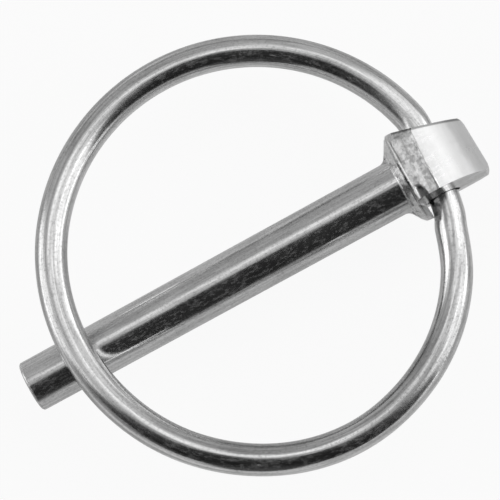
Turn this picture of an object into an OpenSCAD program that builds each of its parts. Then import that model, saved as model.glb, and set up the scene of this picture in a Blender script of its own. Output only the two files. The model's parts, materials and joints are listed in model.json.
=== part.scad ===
// Lynch pin: a round shank forged with a D-shaped head, and a sprung wire ring
// hinged through the head that closes down over the shank near its tip.
// Origin on the shank's axis where the flare under the head begins.
// +X runs to the head, -X to the tip, and the ring closes on the +Z side.

/* [Shank] */
// Diameter of the shank
shank_d = 6; // [4.5:0.5:8]
// Length of the parallel shank and its tip, up to the start of the flare
shank_len = 46.2; // [36:0.2:70]
// Radius that rounds the edge of the tip
tip_round = 0.5; // [0.2:0.1:1.2]

/* [Flare and collar] */
// Radius of the hollow fillet between the shank and the flare
flare_fillet = 1; // [0.5:0.1:2]
// Angle between the flare's cone and the shank's axis
flare_angle = 60; // [45:1:70]
// Diameter of the collar at the end of the flare
collar_d = 10.6; // [9:0.1:13]
// Thickness of the collar's rim
collar_rim = 0.4; // [0.2:0.1:1]

/* [Head] */
// Radius of the head's rounded end, which is half of its thickness
head_round = 5.4; // [4.3:0.1:7]
// Distance from the back of the collar to the hinge hole
hole_setback = 3; // [2.8:0.1:6]
// Distance from the hinge hole to the rounded end
hole_to_end = 5.4; // [4.5:0.1:8]
// Angle by which the hinge hole runs askew across the head
hinge_skew = 6.5; // [0:0.5:8]
// Angle by which the rounded end runs askew, the other way from the hinge hole
nose_skew = 2.5; // [0:0.5:5]
// Radius that rounds the two corners at the end of the head
nose_round = 0.9; // [0.3:0.1:1.5]
// Angle at which the two broad faces slope down to the collar
shoulder_angle = 8; // [4:1:15]
// Distance before the hinge hole at which that slope begins
shoulder_start = 0.7; // [0.3:0.05:2]
// Distance from the shank's axis to the plain side, at the hinge hole
plain_side = 3.55; // [2.7:0.05:5]
// Distance from the shank's axis to the trimmed side, at the hinge hole
trimmed_side = 4.7; // [3.5:0.1:6]
// Angle at which the trimmed side closes in towards the rounded end
trim_angle = 15; // [0:1:18]
// Angle at which the plain side opens out towards the rounded end
plain_angle = 1.4; // [0:0.2:4]
// Draft of both sides, from the parting plane to the broad faces
draft_angle = 4; // [1:0.2:8]

/* [Ring] */
// Diameter of the ring's wire
wire_d = 3.6; // [2.5:0.1:4.4]
// Length of shank that shows past the closed ring
tip_past_ring = 4.8; // [3:0.1:9]
// Distance from the shank's axis, towards the trimmed side, to the ring's far point
far_side = 0.6; // [0:0.1:1.5]
// Radius of the bend at the trimmed side, to the middle of the wire
end_bend = 6; // [4:0.5:9]
// Depth inside the hinge hole at which the wire begins to bend
bend_start = 0.4; // [0:0.1:0.8]
// Gap between the two ends of the ring inside the head
end_gap = 1; // [0.4:0.1:2.5]
// Drop in the wire's diameter at each step of a formed end, bend then pivot
end_draw = 0.04; // [0.02:0.01:0.1]

/* [Clearances] */
// Play all round the wire in the hinge hole
hinge_play = 0.25; // [0.1:0.01:0.4]
// Gap left between the closed ring and the shank
ring_gap = 0.6; // [0.1:0.05:1.5]
// Step between the collar's cone and the bevel on the head's corners
bevel_step = 0.1; // [0.05:0.05:0.3]

/* [Hidden] */
$fn = 128;

steel = "silver";
reach_past = 20; // how far the cutting solids run past what they cut
nose_bite = 0.05; // how far the nose's rounding cuts in below the end and the side

// Flare: where the fillet meets the cone, and where the cone meets the rim
shank_r = shank_d / 2;
collar_r = collar_d / 2;
cone_start = flare_fillet * tan(flare_angle / 2);
fillet_end = flare_fillet * [1 - cos(flare_angle), sin(flare_angle)] + [shank_r, 0];
cone_end = cone_start + (collar_r - shank_r) / tan(flare_angle);
collar_back = cone_end + collar_rim;

// Hinge: its middle between the two sides, and half of the hole's length
hinge_x = collar_back + hole_setback;
hinge_y = (trimmed_side - plain_side) / 2;
hinge_half = (trimmed_side + plain_side) / 2 / cos(hinge_skew);
hole_d = wire_d + 2 * hinge_play;
nose_middle = hole_to_end - head_round;
straight_half = hinge_half - bend_start;

// Closed ring: how far its far point lies from the hinge, over the shank. The ring
// turns about the askew hole, so the distance is split along and across that hole.
cross_x = hinge_x + shank_len - tip_past_ring - wire_d / 2;
cross_z = shank_r + wire_d / 2 + ring_gap;
cross_y = hinge_y - far_side;
cross_flat = cross_x * cos(hinge_skew) - cross_y * sin(hinge_skew);
cross_side = cross_x * sin(hinge_skew) + cross_y * cos(hinge_skew);
closed_tilt = atan2(cross_z, cross_flat);
cross_out = norm([cross_flat, cross_z]);
cross_len = norm([cross_out, cross_side]);
lean = atan2(cross_side, cross_out);

// Main circle of the ring: it runs through the far point, has its centre on the
// line from there to the hinge, and meets the end bend without a kink
ring_centre = (cross_len ^ 2 - 2 * end_bend * cross_len - straight_half ^ 2)
    / (2 * (cross_len - end_bend * (1 + cos(lean)) + straight_half * sin(lean)));
ring_r = cross_len - ring_centre;
centre_out = ring_centre * cos(lean);
centre_side = -ring_centre * sin(lean);
bend_turn = atan2(straight_half - centre_side, centre_out - end_bend);

// Tighter arc that draws the ring in to the hole at the plain side
draw_side = straight_half + centre_side;
draw_r = (ring_r ^ 2 - centre_out ^ 2 - draw_side ^ 2) / (2 * (ring_r - centre_out));
draw_turn = atan2(draw_side, centre_out - draw_r);

// Wire: the stretches run a little into each other, and step down to the ends
end_d = wire_d - end_draw;
pivot_d = end_d - end_draw;
seat = end_draw;
seat_angle = seat / end_bend * 180 / PI;

// Half of the turned profile, with the radius along X and the pin's length along Y
module turned_profile() {
    translate([0, tip_round - shank_len]) square([shank_r, shank_len - tip_round]);
    translate([0, -shank_len]) square([shank_r - tip_round, shank_len]);
    translate([shank_r - tip_round, tip_round - shank_len]) circle(tip_round);
    polygon([
        [0, 0],
        [shank_r, 0],
        [shank_r, cone_start],
        [collar_r, cone_end],
        [collar_r, collar_back],
        [0, collar_back],
    ]);
    difference() {
        polygon([[shank_r, 0], [shank_r, cone_start], fillet_end]);
        translate([shank_r + flare_fillet, 0]) circle(flare_fillet);
    }
}

// Shank, flare and collar in one turned form, laid along X
module turned_shank() {
    rotate([0, 90, 0]) rotate([0, 0, 180]) rotate_extrude() turned_profile();
}

// Side view of the head, from its round end back to inside the collar
module head_outline() {
    circle(head_round);
    translate([-reach_past, -head_round]) square([reach_past, 2 * head_round]);
}

// Turned form that bevels the head's corners in line with the flare
module corner_bevel() {
    rise = reach_past / tan(flare_angle);
    rotate([0, 90, 0]) rotate_extrude()
        translate([0, cone_end + bevel_step])
            polygon([
                [0, -flare_fillet / 2],
                [collar_r - flare_fillet / 2 * tan(flare_angle), -flare_fillet / 2],
                [collar_r + reach_past, rise],
                [collar_r + reach_past, rise + reach_past],
                [0, rise + reach_past],
            ]);
}

// Everything outside one side of the head, at a distance from the shank's axis.
// The side closes in towards the round end by the angle, and drafts both ways.
module outside_side(distance, angle) {
    for (draft = [-draft_angle, draft_angle])
        translate([hinge_x, distance, 0])
            rotate([draft, 0, -angle])
                translate([-reach_past, 0, -reach_past])
                    cube([2 * reach_past, reach_past, 2 * reach_past]);
}

// Sharp corner between that side and the head's askew end, down to its rounding.
// The rounding's centre lies inside both by its radius and a small bite.
module outside_nose(distance, angle, skew) {
    in_end = nose_middle * cos(skew) + head_round - nose_round - nose_bite;
    in_side = distance * cos(angle) - nose_round - nose_bite;
    centre = [in_end * cos(angle) - in_side * sin(skew),
        in_side * cos(skew) - in_end * sin(angle)] / cos(skew + angle);
    to_end = reach_past * [cos(skew), sin(skew)];
    to_side = reach_past * [sin(angle), cos(angle)];
    translate([hinge_x + centre.x, centre.y, -reach_past])
        linear_extrude(2 * reach_past)
            difference() {
                polygon([[0, 0], to_end, to_end + to_side, to_side]);
                circle(nose_round);
            }
}

// Puts its children at the middle of the hinge hole, with Y along the hole
module hinge_place() {
    translate([hinge_x, hinge_y, 0]) rotate([0, 0, -hinge_skew]) children();
}

// Everything above one broad face where it slopes down to the collar
module above_shoulder() {
    hinge_place() translate([-shoulder_start, 0, head_round])
        rotate([0, -shoulder_angle, 0])
            translate([-reach_past, -reach_past / 2, 0]) cube(reach_past);
}

// Forged head with its two drafted sides, before the hinge hole
module head_block() {
    difference() {
        intersection() {
            translate([hinge_x + nose_middle, 0, 0])
                rotate([90, 0, nose_skew])
                    linear_extrude(reach_past, center = true) head_outline();
            corner_bevel();
        }
        above_shoulder();
        mirror([0, 0, 1]) above_shoulder();
        outside_side(trimmed_side, trim_angle);
        outside_nose(trimmed_side, trim_angle, nose_skew);
        mirror([0, 1, 0]) {
            outside_side(plain_side, -plain_angle);
            outside_nose(plain_side, -plain_angle, -nose_skew);
        }
    }
}

// Shank and head: one forged piece with the hinge hole drilled across the head
module forged_pin() {
    color(steel) difference() {
        union() {
            turned_shank();
            head_block();
        }
        hinge_place() rotate([90, 0, 0])
            cylinder(d = hole_d, h = reach_past, center = true);
    }
}

// Round wire swept about Z from a start angle, at a mean radius
module wire_arc(radius, diameter, start, turn) {
    rotate_extrude(angle = turn, start = start)
        translate([radius, 0]) circle(d = diameter);
}

// Straight end of the ring that turns in the hinge hole
module pivot() {
    translate([0, end_gap / 2, 0]) rotate([-90, 0, 0])
        cylinder(d = pivot_d, h = straight_half + seat - end_gap / 2);
}

// Ring: one length of sprung wire, tilted down until it closes over the shank
module spring_ring() {
    color(steel) hinge_place() rotate([0, closed_tilt, 0]) {
        pivot();
        mirror([0, 1, 0]) pivot();
        translate([-end_bend, straight_half, 0])
            wire_arc(end_bend, end_d, 0, bend_turn + seat_angle);
        translate([-centre_out, centre_side, 0])
            wire_arc(ring_r, wire_d, bend_turn, 360 - bend_turn - draw_turn);
        translate([-draw_r, -straight_half, 0])
            wire_arc(draw_r, end_d, 0, -draw_turn - seat_angle);
    }
}

forged_pin();
spring_ring();
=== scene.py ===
"""Lynch pin: a plated forged pin with a D-shaped head, and a sprung wire ring hinged through it."""

import json
from math import atan2, cos, degrees, hypot, pi, radians, sin

import bmesh
import bpy
from mathutils import Matrix, Vector, noise


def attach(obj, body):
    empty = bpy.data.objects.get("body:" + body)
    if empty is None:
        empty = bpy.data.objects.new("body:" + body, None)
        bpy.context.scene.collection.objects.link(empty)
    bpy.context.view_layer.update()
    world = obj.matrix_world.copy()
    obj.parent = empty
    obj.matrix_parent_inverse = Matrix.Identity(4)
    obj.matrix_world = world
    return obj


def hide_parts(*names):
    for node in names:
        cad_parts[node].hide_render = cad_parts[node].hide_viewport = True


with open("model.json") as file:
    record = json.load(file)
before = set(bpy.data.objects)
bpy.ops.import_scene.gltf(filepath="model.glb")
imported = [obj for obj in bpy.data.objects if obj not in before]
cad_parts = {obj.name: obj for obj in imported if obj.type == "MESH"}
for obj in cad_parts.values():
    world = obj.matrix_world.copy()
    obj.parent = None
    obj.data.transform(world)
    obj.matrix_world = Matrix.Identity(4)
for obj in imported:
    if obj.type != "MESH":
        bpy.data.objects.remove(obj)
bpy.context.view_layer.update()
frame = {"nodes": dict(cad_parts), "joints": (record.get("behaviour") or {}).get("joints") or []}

MM = 0.001
TO_DEGREES = 180 / pi

# ---------------------------------------------------------------- shader maths


class Socket:
    """One output of a shader node. An expression on it adds the Math nodes that it needs."""

    def __init__(self, shader, link):
        self.shader = shader
        self.link = link

    def math(self, operation, *others):
        values = dict(enumerate((self, *others)))
        return self.shader.node("ShaderNodeMath", {"operation": operation}, values)

    def __add__(self, other):
        return self.math("ADD", other)

    def __sub__(self, other):
        return self.math("SUBTRACT", other)

    def __mul__(self, other):
        return self.math("MULTIPLY", other)

    def __neg__(self):
        return self.math("MULTIPLY", -1.0)

    def __rsub__(self, other):
        return -self + other

    __radd__ = __add__
    __rmul__ = __mul__

    def size(self):
        return self.math("ABSOLUTE")

    def turn_from(self, other):
        """The angle in degrees whose sine goes as this and whose cosine goes as the other."""
        return self.math("ARCTAN2", other) * TO_DEGREES

    def ramp(self, start, end):
        """0 before start and 1 after end, eased between them. It falls if end is below start."""
        low, high = min(start, end), max(start, end)
        rising = self.shader.node(
            "ShaderNodeMapRange",
            {"interpolation_type": "SMOOTHSTEP"},
            {"Value": self, "From Min": low, "From Max": high},
        )
        return rising if end > start else 1.0 - rising

    def between(self, start, end, edge):
        """1 from start to end, eased over the edge at both."""
        return self.ramp(start - edge, start + edge) * self.ramp(end + edge, end - edge)


class Shader:
    """The node tree of one material or of the world."""

    def __init__(self, owner):
        owner.use_nodes = True
        self.tree = owner.node_tree
        self.tree.nodes.clear()

    def node(self, kind, settings=None, values=None, output=0):
        """Adds a node: its settings first, then the values or links of its sockets."""
        made = self.tree.nodes.new(kind)
        for name, value in (settings or {}).items():
            setattr(made, name, value)
        for name, value in (values or {}).items():
            if isinstance(value, Socket):
                self.tree.links.new(value.link, made.inputs[name])
            else:
                made.inputs[name].default_value = value
        return Socket(self, made.outputs[output]) if made.outputs else None

    def vector(self, operation, first, second, output=0):
        values = {0: first, 1: second}
        return self.node("ShaderNodeVectorMath", {"operation": operation}, values, output)

    def dot(self, first, second):
        return self.vector("DOT_PRODUCT", first, second, "Value")

    def joined(self, x, y, z):
        return self.node("ShaderNodeCombineXYZ", None, {"X": x, "Y": y, "Z": z})

    def mix(self, amount, first, second):
        """Colour mix: first where the amount is 0, second where it is 1."""
        values = {"Factor": amount, 6: first, 7: second}
        return self.node("ShaderNodeMix", {"data_type": "RGBA"}, values, output=2)

    def noise(self, place, scale, detail, rough):
        """Noise of that scale. A place of two parts is a vector and the fourth coordinate."""
        settings = {}
        values = {"Scale": scale, "Detail": detail, "Roughness": rough}
        if isinstance(place, tuple):
            settings["noise_dimensions"] = "4D"
            place, values["W"] = place
        return self.node("ShaderNodeTexNoise", settings, {"Vector": place, **values})

    def bump(self, height, distance, under=None):
        """Bumps of that height times the distance, on top of those of the normal under them."""
        values = {"Height": height, "Distance": distance, "Strength": 1.0}
        if under is not None:
            values["Normal"] = under
        return self.node("ShaderNodeBump", None, values)

    def attribute(self, name):
        return self.node("ShaderNodeAttribute", {"attribute_name": name}, None, "Fac")


def grey(value):
    return (value, value, value, 1.0)


# ---------------------------------------------------------------- camera

lean_to_head = radians(3.3)
lean_to_plain_side = radians(7.8)
stand_off = 460 * MM
camera_roll = radians(28.66)
view_width = 56.31 * MM
aim_from = Vector((5.305 * MM, 0, 0))  # on the shank's axis, at the hinge hole
aim_towards_tip = 22.54 * MM
aim_upwards = 1.66 * MM

to_camera = Vector((
    sin(lean_to_head),
    -sin(lean_to_plain_side) * cos(lean_to_head),
    cos(lean_to_plain_side) * cos(lean_to_head),
)).normalized()
shank_way = (Vector((1, 0, 0)) - to_camera * to_camera.x).normalized()
across_way = shank_way.cross(to_camera)
right_way = shank_way * cos(camera_roll) + across_way * sin(camera_roll)
down_way = across_way * cos(camera_roll) - shank_way * sin(camera_roll)


def place_camera():
    """Looks down on the closed pin, leaning a little to its head and to its plain side."""
    sight = bpy.data.cameras.new("camera")
    sight.lens = sight.sensor_width * stand_off / view_width
    sight.clip_start = 0.01
    sight.clip_end = 10
    camera = bpy.data.objects.new("camera", sight)
    bpy.context.scene.collection.objects.link(camera)
    aim = aim_from - shank_way * aim_towards_tip - across_way * aim_upwards
    turn = Matrix((right_way, -down_way, to_camera)).transposed().to_4x4()
    camera.matrix_world = Matrix.Translation(aim + to_camera * stand_off) @ turn
    bpy.context.scene.camera = camera


# ---------------------------------------------------------------- mesh helpers


def finish_mesh(name, bm):
    """Ends the shaping of a piece, and puts it into the scene under its name."""
    mesh = bpy.data.meshes.new(name)
    bm.to_mesh(mesh)
    bm.free()
    piece = bpy.data.objects.new(name, mesh)
    bpy.context.scene.collection.objects.link(piece)
    return piece


def within(share):
    """The share, kept from 0 to 1."""
    return min(max(share, 0.0), 1.0)


def eased(value, start, end):
    """0 at start and 1 at end, eased between them. It works either way round."""
    share = within((value - start) / (end - start))
    return share * share * (3 - 2 * share)


def bulge(turn, middle, reach, height):
    """That height at an angle round the ring, eased down to 0 at the reach on both sides of it."""
    off = abs((turn - middle + 180) % 360 - 180)
    return height * eased(off, reach, 0)


def steps(start, end, step):
    """Places from start up to end, a step apart."""
    while start < end:
        yield start
        start += step


def cut(bm, faces, place, way):
    """Cuts those faces with a plane, and leaves both sides."""
    near = [face for face in faces if face.is_valid]
    parts = dict.fromkeys(part for face in near for part in (*face.verts, *face.edges))
    bmesh.ops.bisect_plane(bm, geom=[*parts, *near], dist=0.0005, plane_co=place, plane_no=way)


# ---------------------------------------------------------------- studio

floor_height = -8.2 * MM
floor_half = 4  # half of its side, in metres
floor_white_seen = 0.92  # how white the table shows to the camera
floor_white_mirrored = 0.25  # and how white the metal mirrors it

# Strengths of the tent's wall and of each light, where 1 is white
tent_wall = 0.48
tent_front = 0.16
over_strength = 0.62
right_strength = 1.5
left_strength = 1.4
low_left_strength = 0.8
opening_depth = 0.955  # share of the light that the dark opening takes away
opening_glow = 0.10  # and how much less it takes towards its lower edge


def light_studio():
    """A grey tent with a wide soft light at each side, one above, and a dark opening in front."""
    world = bpy.data.worlds.new("studio")
    bpy.context.scene.world = world
    s = Shader(world)
    way = s.node("ShaderNodeTexCoord", output="Generated")
    ahead = s.dot(way, tuple(to_camera))
    side = s.dot(way, tuple(right_way))
    low = s.dot(way, tuple(down_way))

    # Every place on the tent in degrees: its spread from the front, and its turn from each side
    spread = ahead.math("ARCCOSINE") * TO_DEGREES
    from_right = (-low).turn_from(side)
    from_left = low.turn_from(-side)
    from_below = side.turn_from(low)
    from_above = 180.0 - from_below.size()

    right = from_right.ramp(-34, -20) * from_right.ramp(52, 32) * spread.between(29, 135, 8)
    left = from_left.between(-24, 13, 5) * spread.between(52, 148, 7)
    low_left = from_left.between(8, 42, 6) * spread.between(28, 62, 6)

    # The light above reaches further round, in two stages, at its right
    over_reach = 38.0 + side.ramp(0.1, 0.35) * 21.0 + side.ramp(0.3, 0.5) * 22.0
    over = from_above.ramp(62, 38) * spread.ramp(15, 27) * (over_reach - spread).ramp(-6, 6)

    # The opening's two sides meet above its middle, and its lower edge bows outwards
    opening_turn = side.turn_from(low + 0.22)
    opening_reach = 67.0 + from_below.between(-15, 13, 10) * 22.0 + from_below.ramp(12, 34) * 6.0
    opening = opening_turn.between(-57, 64, 4) * (opening_reach - spread).ramp(-2, 2)
    dark = opening_depth - from_below.between(-18, 16, 10) * spread.ramp(40, 66) * opening_glow

    light = tent_wall + spread.ramp(58, 30) * tent_front
    light = light + over * over_strength + right * right_strength
    light = light + left * left_strength + low_left * low_left_strength
    light = light * (1.0 - opening * dark)
    back = s.node("ShaderNodeBackground", None, {"Color": grey(1.0), "Strength": light})
    s.node("ShaderNodeOutputWorld", None, {"Surface": back})


def lay_floor():
    """A white table that shows white to the camera, with a faint soft shadow."""
    bm = bmesh.new()
    bmesh.ops.create_grid(bm, x_segments=1, y_segments=1, size=floor_half)
    bmesh.ops.translate(bm, verts=bm.verts, vec=(0, 0, floor_height))
    floor = finish_mesh("table", bm)
    material = bpy.data.materials.new("white_table")
    floor.data.materials.append(material)
    s = Shader(material)
    seen = s.node("ShaderNodeLightPath", output="Is Camera Ray")
    mirrored = s.node("ShaderNodeLightPath", output="Is Glossy Ray")
    mirrored = mirrored + s.node("ShaderNodeLightPath", output="Is Transmission Ray")
    lit = seen * floor_white_seen + mirrored * floor_white_mirrored
    plain = s.node("ShaderNodeBsdfDiffuse", None, {"Color": grey(0.8)})
    white = s.node("ShaderNodeEmission", None, {"Color": grey(1.0), "Strength": 1.0})
    surface = s.node("ShaderNodeMixShader", None, {0: lit.math("MINIMUM", 1.0), 1: plain, 2: white})
    s.node("ShaderNodeOutputMaterial", None, {"Surface": surface})


# ---------------------------------------------------------------- ring

# Sizes in millimetres that the ring shares with its CAD part
wire_d = 3.6
end_bend = 6.0
bend_start = 0.4
end_gap = 1.0
far_side = 0.6
tip_past_ring = 4.8
ring_gap = 0.6
shank_r = 3.0
shank_len = 46.2
plain_side = 3.55
trimmed_side = 4.7
hinge_skew = radians(6.5)

# The wire's radius in the hinge hole, how much it fills out from there, and its divisions
pivot_r = wire_d / 2 - 0.04
wire_swell = 0.07
wire_sides = 64
end_bend_steps = 8
ring_steps = 200
draw_in_steps = 60

# How the hand-closed ring is out of round, and where its wire is fuller still: the turn from the
# hinge and the reach to each side of it in degrees, and the height there in millimetres
ring_bows = [(-84, 44, 0.33), (-44, 28, 0.16), (-165, 45, -0.16), (-14, 14, -0.22)]
fuller_wire = (-155, 50, 0.07)

# Turns from the hinge, in degrees, up to which the wire is true and past which it is free
true_turn, free_turn = 9, 14

# The closed ring's far point over the shank, as seen from the hinge hole's middle and its skew
hinge = Vector(frame["joints"][0]["pos_m"])
straight_half = (trimmed_side + plain_side) / 2 / cos(hinge_skew) - bend_start
cross_x = hinge.x / MM + shank_len - tip_past_ring - wire_d / 2
cross_z = shank_r + wire_d / 2 + ring_gap
cross_y = hinge.y / MM - far_side
cross_flat = cross_x * cos(hinge_skew) - cross_y * sin(hinge_skew)
cross_side = cross_x * sin(hinge_skew) + cross_y * cos(hinge_skew)
closed_tilt = atan2(cross_z, cross_flat)
cross_out = hypot(cross_flat, cross_z)
cross_len = hypot(cross_out, cross_side)
lean = atan2(cross_side, cross_out)

# Its main circle, which meets the end bend without a kink, and the arc that draws it in
ring_centre = (cross_len ** 2 - 2 * end_bend * cross_len - straight_half ** 2) / (
    2 * (cross_len - end_bend * (1 + cos(lean)) + straight_half * sin(lean))
)
ring_r = cross_len - ring_centre
centre_out = ring_centre * cos(lean)
centre_side = -ring_centre * sin(lean)
bend_turn = atan2(straight_half - centre_side, centre_out - end_bend)
draw_side = straight_half + centre_side
draw_r = (ring_r ** 2 - centre_out ** 2 - draw_side ** 2) / (2 * (ring_r - centre_out))
draw_turn = atan2(draw_side, centre_out - draw_r)

# From the ring lying flat, in millimetres, to its place over the shank
ring_place = (
    Matrix.Translation(hinge)
    @ Matrix.Rotation(-hinge_skew, 4, "Z")
    @ Matrix.Rotation(closed_tilt, 4, "Y")
    @ Matrix.Scale(MM, 4)
)


def run_straight(bm, rim, length):
    """Draws the wire's open rim out along Y, and gives the new rim."""
    made = bmesh.ops.extrude_edge_only(bm, edges=rim)["geom"]
    verts = [part for part in made if isinstance(part, bmesh.types.BMVert)]
    bmesh.ops.translate(bm, verts=verts, vec=(0, length, 0))
    edges = [part for part in made if isinstance(part, bmesh.types.BMEdge)]
    return [edge for edge in edges if all(vert in verts for vert in edge.verts)]


def bend(bm, rim, centre, turn, count):
    """Bends the wire on from its open rim, round a centre, and gives the new rim."""
    verts = dict.fromkeys(vert for edge in rim for vert in edge.verts)
    made = bmesh.ops.spin(
        bm,
        geom=[*rim, *verts],
        cent=centre,
        axis=(0, 0, 1),
        dvec=(0, 0, 0),
        angle=turn,
        space=Matrix.Identity(4),
        steps=count,
        use_merge=False,
        use_normal_flip=False,
        use_duplicate=False,
    )
    return [part for part in made["geom_last"] if isinstance(part, bmesh.types.BMEdge)]


def bow_ring(bm):
    """The hand-closed ring is a little out of round, and its wire fuller away from the hinge."""
    bm.normal_update()
    for vert in bm.verts:
        out, across = vert.co.x + centre_out, vert.co.y - centre_side
        turn = degrees(atan2(across, out))
        free = eased(abs(turn), true_turn, free_turn)
        bow = sum(bulge(turn, *place) for place in ring_bows)
        off_underside = eased(vert.normal.z, -0.9, -0.3)
        swell = (wire_swell + bulge(turn, *fuller_wire)) * off_underside
        away = Vector((out, across, 0)).normalized()
        vert.co += (vert.normal * swell + away * bow) * free


def spun_ring():
    """One length of wire: pivot, end bend, the ring itself, the draw to the other side, pivot."""
    bm = bmesh.new()
    bmesh.ops.create_circle(bm, cap_ends=False, segments=wire_sides, radius=pivot_r)
    upright = Matrix.Rotation(-pi / 2, 3, "X")
    bmesh.ops.rotate(bm, verts=bm.verts, cent=(0, 0, 0), matrix=upright)
    bmesh.ops.translate(bm, verts=bm.verts, vec=(0, end_gap / 2, 0))
    main_turn = 2 * pi - bend_turn - draw_turn
    rim = list(bm.edges)
    rim = run_straight(bm, rim, straight_half - end_gap / 2)
    rim = bend(bm, rim, (-end_bend, straight_half, 0), bend_turn, end_bend_steps)
    rim = bend(bm, rim, (-centre_out, centre_side, 0), main_turn, ring_steps)
    rim = bend(bm, rim, (-draw_r, -straight_half, 0), draw_turn, draw_in_steps)
    run_straight(bm, rim, straight_half - end_gap / 2)
    bmesh.ops.remove_doubles(bm, verts=bm.verts, dist=0.001)
    bmesh.ops.holes_fill(bm, edges=bm.edges, sides=0)
    bmesh.ops.recalc_face_normals(bm, faces=bm.faces)
    bow_ring(bm)
    for face in bm.faces:
        face.smooth = True
    bmesh.ops.transform(bm, matrix=ring_place, verts=bm.verts)
    return finish_mesh("wire_ring", bm)


# ---------------------------------------------------------------- pin

# Sizes in millimetres that the pin shares with its CAD part
tip_round = 0.5
fillet_end = 0.866
collar_back = 2.305

# The tight crease under the flare, which takes the place of the plain fillet
crease_at = 0.98
crease_round = 0.32
crease_angle = radians(66)
fillet_cuts = 12

# How the real shank differs from a plain rod
tip_edge = 0.34  # radius of the crisp edge at the tip
tip_longer = 0.35
shank_growth = 0.11  # of its radius, from the tip up to the flare
shank_drop = 0.11  # towards the plain side
nose_forward = 0.1

# Both edges of the collar's rim: where each starts and ends along the pin, and how far it is
# shifted along the pin and drawn in towards the axis where the rim is blunt
rim_edges = [(1.8, 2.1, -0.05, 0.055), (2.1, 2.4, 0.42, 0.03)]
rim_inside = 5.2

# The hammered band on the shoulders
band_end = 5.4
band_sides = (-3.9, 5.2)
shoulder_end = 6.2
shoulder_cell = 0.11
band_sink = 0.02
grain_depth = 0.026
pit_depth = 0.014
lip_height = 0.05
nick_depth = 0.35

# Edges that fold by more than the sharp angle are broken. Faces that fold by less than the flat
# angle are one face, and corners nearer than the merge gap are one corner.
sharp_angle = radians(22)
flat_angle = radians(0.4)
merge_gap = 0.002
edge_break = 0.13
edge_steps = 3


def tighten_fillet(bm):
    """The flare leaves the shank at a tight crease, and more gently at the parting line."""
    for i in range(1, fillet_cuts):
        cut(bm, list(bm.faces), (fillet_end * i / fillet_cuts, 0, 0), (1, 0, 0))
    for vert in bm.verts:
        x, y, z = vert.co
        off = hypot(y, z)
        if -0.01 < x < fillet_end + 0.01 and off < 3.6:
            turn = crease_angle * within(x / fillet_end)
            share = eased(abs(z) / off, 0.12, 0.4)
            new_x = crease_at + crease_round * sin(turn)
            new_off = shank_r + crease_round * (1 - cos(turn))
            scale = (off + (new_off - off) * share) / off
            vert.co = (x + (new_x - x) * share, y * scale, z * scale)


def true_shank(bm):
    """The shank grows a little towards the flare, sits a hair low, and ends in a crisp edge."""
    crisp = tip_edge / tip_round
    round_x, round_off = tip_round - shank_len, shank_r - tip_round
    for vert in bm.verts:
        x, y, z = vert.co
        off = hypot(y, z)
        if x < round_x + 0.1 and off > round_off - 0.01:
            new_off = shank_r - tip_edge + (off - round_off) * crisp
            x = tip_edge - shank_len + (x - round_x) * crisp
            y, z, off = y * new_off / off, z * new_off / off, new_off
        growth = shank_growth * within(1 + x / shank_len) * eased(x, 1.6, 0.6)
        scale = 1 + growth / max(off, 2)
        longer = tip_longer * within(-x / shank_len)
        forward = nose_forward * eased(x, 6, 10.5)
        drop = shank_drop * eased(x, 2.2, 1.0)
        vert.co = (x - longer + forward, y * scale - drop, z * scale)


def blunt_collar(bm):
    """Below the plain side the collar's rim is thicker and blunter than elsewhere."""
    for vert in bm.verts:
        x, y, z = vert.co
        share = eased(-y, 3.0, 4.4)
        for start, end, shift, inwards in rim_edges:
            if start < x < end and hypot(y, z) > rim_inside:
                scale = 1 - inwards * share
                vert.co = (x + shift * share, y * scale, z * scale)


def broad_faces(bm):
    """The shoulders and the start of the rounded end, on both broad faces."""
    return [
        face for face in bm.faces
        if abs(face.normal.z) > 0.9
        and collar_back - 0.1 < face.calc_center_median().x < shoulder_end
    ]


def strike_shoulders(bm):
    """The hammered band between the collar and the smooth face: grain, a lip, a step and a nick,
    with painted shade in the nick and a painted highlight on the lip.
    """
    layers = bm.verts.layers.float
    struck, nick_shade, wear_and_highlight = layers["struck"], layers["nick_shade"], layers["edge_wear_and_highlight"]
    for x in steps(collar_back + 0.1, band_end, shoulder_cell):
        cut(bm, broad_faces(bm), (x, 0, 0), (1, 0, 0))
    for y in steps(*band_sides, shoulder_cell):
        cut(bm, broad_faces(bm), (0, y, 0), (0, 1, 0))
    bm.normal_update()
    broad = {vert for face in broad_faces(bm) for vert in face.verts}
    edge = {vert for vert in broad if any(abs(face.normal.z) < 0.88 for face in vert.link_faces)}
    for vert in broad - edge:
        x, y, z = vert.co
        face_way = 1 if z > 0 else -1
        step_at = 4.90 + 0.06 * y
        share = eased(x, step_at + 0.03, step_at - 0.05)
        vert[struck] = share
        if share == 0:
            continue
        near_collar = eased(x, 2.35, 2.7)
        grain = noise.fractal(Vector((x, y * 0.8, face_way)) * 3.2, 0.6, 2.0, 3)
        pits = noise.noise(Vector((x, y, 7 + face_way)) * 7.5)
        lip_at = 3.80 + 0.03 * y + 0.08 * noise.noise(Vector((y * 0.7, face_way, 3)))
        lip = eased(abs(x - lip_at), 0.24, 0.0) * eased(y, 1.0, 0.1)
        height = -band_sink + grain_depth * grain + pit_depth * pits + lip_height * lip
        if face_way > 0:
            nick_end = 3.28 - (y + 2) * 0.3
            nick = eased(x, 2.5, 2.75) * eased(x, nick_end + 0.1, nick_end - 0.12)
            nick *= eased(y, -1.6, -2.05)
            height -= nick_depth * nick
            # Painted shade in the nick
            vert[nick_shade] = nick
            # A painted highlight along the lip's crest, kept with the edge wear
            vert[wear_and_highlight] = lip * 0.9
        vert.co.z += face_way * share * near_collar * height


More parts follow.
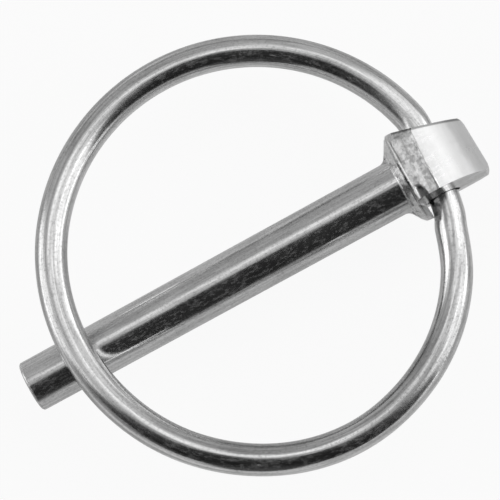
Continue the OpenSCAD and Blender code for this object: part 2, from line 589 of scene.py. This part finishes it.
def dressed_pin():
    """The forged pin with its sharp edges broken, as plating leaves them."""
    bm = bmesh.new()
    bm.from_mesh(frame["nodes"]["forged_pin"].data)
    for name in ("edge_wear_and_highlight", "struck", "burnished", "nick_shade"):
        bm.verts.layers.float.new(name)
    wear_and_highlight = bm.verts.layers.float["edge_wear_and_highlight"]
    burnished = bm.verts.layers.float["burnished"]
    bmesh.ops.scale(bm, vec=(1 / MM, 1 / MM, 1 / MM), verts=bm.verts)
    bmesh.ops.remove_doubles(bm, verts=bm.verts, dist=merge_gap)
    bmesh.ops.dissolve_degenerate(bm, dist=merge_gap, edges=bm.edges)
    bmesh.ops.dissolve_limit(
        bm,
        angle_limit=flat_angle,
        use_dissolve_boundaries=False,
        verts=bm.verts,
        edges=bm.edges,
        delimit=set(),
    )
    tighten_fillet(bm)
    blunt_collar(bm)
    true_shank(bm)
    sharp = [
        edge for edge in bm.edges
        if edge.calc_face_angle(0) > sharp_angle
        and not all(-0.2 < vert.co.x < 1.5 for vert in edge.verts)
    ]
    made = bmesh.ops.bevel(
        bm,
        geom=sharp,
        offset=edge_break,
        offset_type="OFFSET",
        segments=edge_steps,
        profile=0.5,
        affect="EDGES",
        clamp_overlap=True,
        material=-1,
    )
    broken = set(made["faces"])
    for vert in {vert for face in broken for vert in face.verts}:
        if broken.issuperset(vert.link_faces):
            vert[wear_and_highlight] = 1.0
    bm.normal_update()
    strike_shoulders(bm)
    bm.normal_update()
    for vert in bm.verts:
        faces = vert.link_faces
        if all(abs(face.normal.y) < 0.5 and face.normal.dot(vert.co) > 0 for face in faces):
            vert[burnished] = eased(vert.co.x, 4.8, 5.0)
    for face in bm.faces:
        face.smooth = True
    bmesh.ops.scale(bm, vec=(MM, MM, MM), verts=bm.verts)
    pin = finish_mesh("pin", bm)
    even = pin.modifiers.new("even_normals", "WEIGHTED_NORMAL")
    even.keep_sharp = True
    return pin


# ---------------------------------------------------------------- finishes

# Thin painted highlights along the shank, where it mirrors the ring: the angle round it in degrees,
# and the start and the end of each along it in millimetres
shank_highlight_lines = [(41.0, -33.5, -26.4), (-39.5, -40.5, -29.5), (-44.7, -9.3, -6.9)]
shank_highlight_width = 2.2

forging_relief = 0.0022 * MM
wire_relief = 0.0040 * MM

# Bumps that lean a whole surface, and the way in the ring's plane that its own lean goes
nose_lean = 0.10
ring_lean = 0.07
ring_lean_way = (0.378, 0.926)


def zinc(s, place, run, fleck_run):
    """Bright zinc over steel: grained, streaked along the drawn steel, with a thin haze."""
    cloud = s.noise(place, 260, 3, 0.6).ramp(0.3, 0.7)
    grain = s.noise(place, 3400, 3, 0.7)
    fleck = s.noise(fleck_run, 2600, 3, 0.75)
    streak = s.noise(run, 2300, 3, 0.65)
    line = s.noise(run, 7000, 2, 0.6)
    tone = 0.42 + streak.ramp(0.34, 0.66) * 0.17 + line.ramp(0.35, 0.65) * 0.08
    tone = tone + cloud * 0.05 - grain.ramp(0.48, 0.68) * 0.12
    rough = 0.14 + cloud * 0.04 + grain.ramp(0.45, 0.7) * 0.07 + streak.ramp(0.6, 0.35) * 0.04
    haze = fleck.ramp(0.48, 0.62) * 0.17
    height = grain * 0.8 + line * 0.6 + streak * 1.3
    return tone, rough, haze, height


def finish(s, tone, rough, haze, normal):
    """Ends a finish: bare metal of that grey tone, less metallic where a haze lies on it."""
    skin = s.node(
        "ShaderNodeBsdfPrincipled",
        None,
        {
            "Base Color": s.mix(tone, grey(0.0), grey(1.0)),
            "Metallic": 1.0 - haze,
            "Roughness": rough,
            "Normal": normal,
        },
    )
    s.node("ShaderNodeOutputMaterial", None, {"Surface": skin})


def shank_highlight_line(turned_by, along, angle, start, end):
    """A thin painted highlight along the shank, where it mirrors the ring."""
    beside = (turned_by - angle).size()
    return beside.ramp(shank_highlight_width, shank_highlight_width * 0.3) * along.between(start, end, 0.9)


def plated_forging():
    """The pin's finish: drawn shank, bright flare, hammered shoulders and polished rounded end,
    with painted highlights and painted shade on its lines, edges and hollows.
    """
    material = bpy.data.materials.new("plated_forging")
    s = Shader(material)
    place = s.node("ShaderNodeTexCoord", output="Object")

    def drawn_out(x, y):
        """A place for a noise that is drawn out along X or Y where its factor is below 1."""
        return s.vector("MULTIPLY", place, (x, y, 1.0))

    tone, rough, haze, height = zinc(s, place, drawn_out(0.05, 1.0), drawn_out(0.45, 1.0))

    # Millimetres along the pin, across it and off its parting plane, and degrees round its axis
    along = s.dot(place, (1 / MM, 0.0, 0.0))
    across = s.dot(place, (0.0, 1 / MM, 0.0))
    raised = s.dot(place, (0.0, 0.0, 1 / MM)).size()
    turned_by = s.dot(place, (0.0, 1.0, 0.0)).turn_from(s.dot(place, (0.0, 0.0, 1.0)))

    # Where the shaping of the pin left each finish, the worn edges with a painted highlight on the
    # lip, and the painted shade in the nick
    struck = s.attribute("struck")
    burnished = s.attribute("burnished")
    worn_and_highlit = s.attribute("edge_wear_and_highlight")
    nick_shade = s.attribute("nick_shade")
    # Painted shade on the step where the struck band meets the polished end
    seam_shade = struck * (1.0 - struck) * 4.0
    seam_haze = burnished * along.ramp(6.8, 5.4)

    # Shank and flare: painted highlights along the shank, the cut rim of the tip, a painted
    # highlight on the crease and painted shade on the flare's rim
    # Painted highlights along the shank
    shank_highlights = sum(shank_highlight_line(turned_by, along, *line) for line in shank_highlight_lines)
    tip_rim = along.ramp(-46.18, -46.26)
    # Painted highlight along the crease
    crease = along.between(1.06, 1.26, 0.05)
    flare_rim_shade = along.between(2.06, 2.2, 0.05)
    # The flare's tone, with the painted highlight on the crease and the painted shade on its rim
    flare = along.between(1.25, 2.0, 0.1) * 0.14 + crease * 0.5 - flare_rim_shade * 0.15
    flare_haze = along.between(1.3, 2.0, 0.1)

    # Collar: a painted highlight where it meets the shoulder, and painted shade lines in a groove
    # before it and at a step behind it
    from_collar = along + across * 0.021 - 2.34
    collar_highlight = from_collar.between(-0.06, 0.06, 0.04) * across.between(-3.1, 4.5, 0.3)
    collar_highlight = collar_highlight * raised.ramp(2.0, 3.0)
    collar_groove_shade = from_collar.between(-0.34, -0.16, 0.05) * across.between(-2.9, 2.0, 1.0)
    collar_step_shade = from_collar.between(0.14, 0.26, 0.05) * across.between(1.4, 4.4, 0.6)
    blunt_rim = along.between(2.2, 2.75, 0.06) * across.ramp(-3.5, -4.0)

    # Trimmed side: a painted dark reflection all along its edge, and a grey band beside that on the
    # struck shoulder
    trim_gap = across + along * 0.268 + raised * 0.07 - 6.12
    trimmed_edge_dark_reflection = trim_gap.ramp(-0.36, -0.18) * (struck + burnished).math("MINIMUM", 1.0)
    trimmed_band = trim_gap.ramp(-1.05, -0.7) * struck

    # Hammered shoulders are pale with grey pits, and the rounded end is brushed across, with
    # painted shade towards its nose
    pitted = s.noise(drawn_out(1.0, 0.6), 1800, 4, 0.7).ramp(0.38, 0.60)
    brushed = s.noise(drawn_out(1.0, 0.12), 1500, 3, 0.6).ramp(0.3, 0.7)
    cloudy = s.noise(place, 900, 3, 0.6).ramp(0.45, 0.7)
    hammered = 1.0 - pitted * 0.42
    polished = 0.92 + brushed * 0.05 - cloudy * 0.05
    # Painted shade darkens the rounded end towards its nose
    polished = polished * (1.0 - along.ramp(6.7, 8.5) * 0.29)

    tone = tone + shank_highlights * 0.4 + worn_and_highlit * 0.3 + flare
    tone = tone * (1.0 - struck) * (1.0 - burnished) + hammered * struck
    tone = tone + polished * burnished * (1.0 - struck)
    # Painted highlight on the lip's crest
    tone = tone + worn_and_highlit * struck * 0.3
    # Painted shade in the nick and on the step, and a painted dark reflection along the trimmed
    # edge
    tone = tone * (1.0 - nick_shade * 0.85) * (1.0 - trimmed_edge_dark_reflection * 0.6) - seam_shade * 0.25
    # Painted shade in the collar's groove and step, and a painted highlight where it meets the
    # shoulder
    tone = tone * (1.0 - collar_groove_shade * 0.7) * (1.0 - collar_step_shade * 0.6) + collar_highlight * 0.5
    tone = tone * (1.0 - trimmed_band * 0.28) + blunt_rim * pitted * 0.25

    rough = rough + struck * 0.26 + burnished * 0.12 - worn_and_highlit * 0.03

    haze = haze * (1.0 - burnished * 0.8) + seam_haze * 0.15
    haze = haze + blunt_rim * 0.55 + crease * 0.40 + flare_haze * 0.12
    haze = haze + shank_highlights * 0.6 + collar_highlight * 0.6 + worn_and_highlit * struck * 0.5 + tip_rim * 0.35

    leant = s.bump(burnished * s.dot(place, (0.0, -1.0, 0.0)), nose_lean)
    normal = s.bump(height * (1.0 + struck * 1.5), forging_relief, leant)
    finish(s, tone, rough, haze, normal)
    return material


def scuff(along, away, where, level, length, width):
    """A short pale mark along the wire."""
    run = along.between(where - length, where + length, 0.15 * MM)
    return run * away.between(level - width, level + width, width)


def plated_wire():
    """The ring's finish: the same zinc, drawn out round the ring, with two scuffs on its top."""
    material = bpy.data.materials.new("plated_wire")
    s = Shader(material)
    place = s.node("ShaderNodeTexCoord", output="Object")

    # Seen from the ring's middle: the turn round it, and how far out and up on the wire
    middle = ring_place @ Vector((-centre_out, centre_side, 0))
    from_middle = s.vector("SUBTRACT", place, tuple(middle))
    ways = ring_place.to_3x3().normalized().col
    flat_x, flat_y, up = (s.dot(from_middle, tuple(way)) for way in ways)
    radius = ring_r * MM
    turn = flat_y.math("ARCTAN2", flat_x)
    along = turn * radius
    away = (flat_x * flat_x + flat_y * flat_y).math("SQRT") - radius

    def round_ring(stretch):
        """A place that closes on itself round the ring, drawn out along the wire by the stretch."""
        reach = radius / stretch
        return s.joined(turn.math("COSINE") * reach, turn.math("SINE") * reach, away), up

    tone, rough, haze, height = zinc(s, place, round_ring(20), round_ring(2.5))
    drawn = s.noise(round_ring(55), 1500, 2, 0.55)
    tone = tone - 0.12 + drawn.ramp(0.40, 0.58) * 0.22
    scuffs = scuff(along, away, radians(64) * radius, -0.75 * MM, 0.3 * MM, 0.05 * MM)
    scuffs = scuffs + scuff(along, away, radians(-111) * radius, 0.8 * MM, 0.15 * MM, 0.06 * MM)
    scuffs = scuffs * up.ramp(0.0, 1.0 * MM)

    lean_x, lean_y = ring_lean_way
    slope = (turn.math("COSINE") * lean_x + turn.math("SINE") * lean_y) * -radius
    normal = s.bump(height + drawn * 7.5, wire_relief, s.bump(slope, ring_lean))
    finish(s, tone + scuffs * 0.15, rough, haze + scuffs * 0.3, normal)
    return material


# ---------------------------------------------------------------- scene

bpy.context.scene.view_settings.view_transform = "Standard"

place_camera()
light_studio()
lay_floor()

ring = spun_ring()
ring.data.materials.append(plated_wire())
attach(ring, "ring")
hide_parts("spring_ring")

pin = dressed_pin()
pin.data.materials.append(plated_forging())
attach(pin, "pin")
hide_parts("forged_pin")
